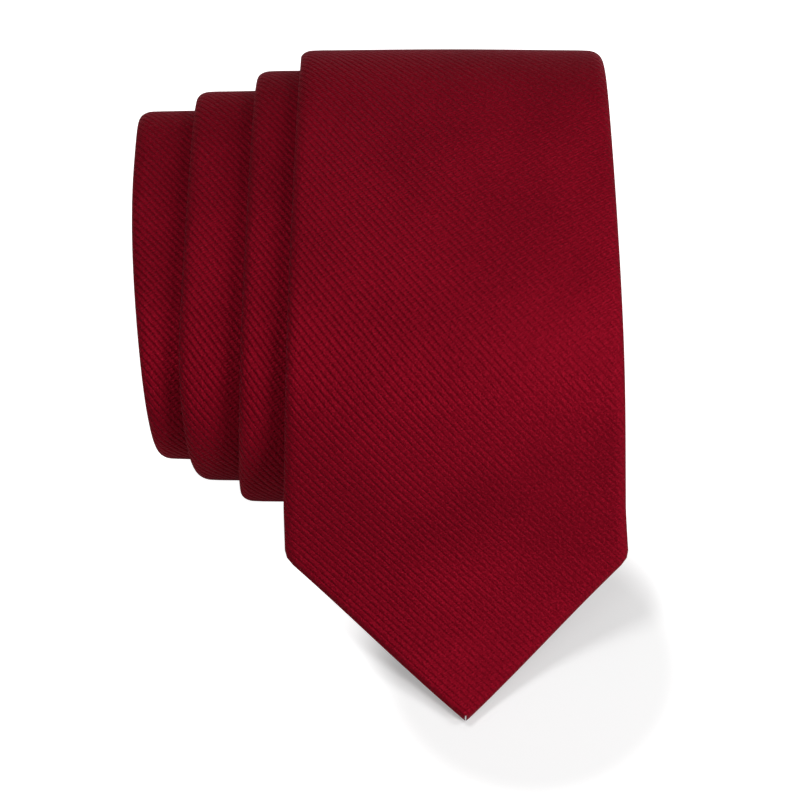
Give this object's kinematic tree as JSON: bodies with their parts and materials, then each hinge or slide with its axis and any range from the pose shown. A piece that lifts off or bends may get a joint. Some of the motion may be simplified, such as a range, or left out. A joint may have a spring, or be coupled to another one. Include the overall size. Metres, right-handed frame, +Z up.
{
  "type": "necktie",
  "caption": "Slim necktie rolled up for display, the turns stepped to one side and the wide end sloping down to the table",
  "frame": {"origin": "on the table under the roll, on the front blade's centre line and midway along the flat bottom run", "axes": "+X to the right along the roll's axis, +Y away from the pointed end, +Z up from the table"},
  "size_m": [0.1018, 0.1461, 0.0586],
  "materials": {
    "silk": "burgundy ribbed silk twill with a soft satin sheen",
    "lining": "smooth dark red lining cloth",
    "interlining": "undyed brushed wool blend",
    "thread": "burgundy sewing thread",
    "label": "plain black woven satin label with no text",
    "tag": "plain off-white printed-tape tag with no text"
  },
  "bodies": {
    "outer_turn": {"shell_outer_turn": "silk", "interlining_outer_turn": "interlining", "slip_stitch_outer_turn": "thread", "keeper_loop": "silk", "keeper_loop_tack_left": "thread", "keeper_loop_tack_right": "thread"},
    "front_blade": {"shell_front_blade": "silk", "interlining_front_blade": "interlining", "slip_stitch_front_blade": "thread", "tipping_wide_end": "lining", "bar_tack_wide_end": "thread", "label": "label", "label_tack_left": "thread", "label_tack_right": "thread", "care_tag": "tag"},
    "turn_2": {"shell_turn_2": "silk", "interlining_turn_2": "interlining", "slip_stitch_turn_2": "thread"},
    "turn_3": {"shell_turn_3": "silk", "interlining_turn_3": "interlining", "slip_stitch_turn_3": "thread"},
    "core": {"shell_turn_4": "silk", "shell_neck": "silk", "shell_tail": "silk", "interlining_core": "interlining", "slip_stitch_core": "thread", "piecing_seam_front": "thread", "piecing_seam_rear": "thread", "tipping_tail": "lining", "bar_tack_tail": "thread"}
  },
  "joints": [
    {"name": "blade_lift", "type": "hinge", "parent": "outer_turn", "child": "front_blade", "pos_m": [0, 0, 0.0586], "axis": [-1, 0, 0], "range_deg": [0, 75]},
    {"name": "turn_2_slide", "type": "slide", "parent": "outer_turn", "child": "turn_2", "axis": [1, 0, 0], "range_m": [-0.006, 0.01]},
    {"name": "turn_3_slide", "type": "slide", "parent": "turn_2", "child": "turn_3", "axis": [1, 0, 0], "range_m": [-0.006, 0.01]},
    {"name": "core_slide", "type": "slide", "parent": "turn_3", "child": "core", "axis": [1, 0, 0], "range_m": [-0.006, 0.01]}
  ]
}
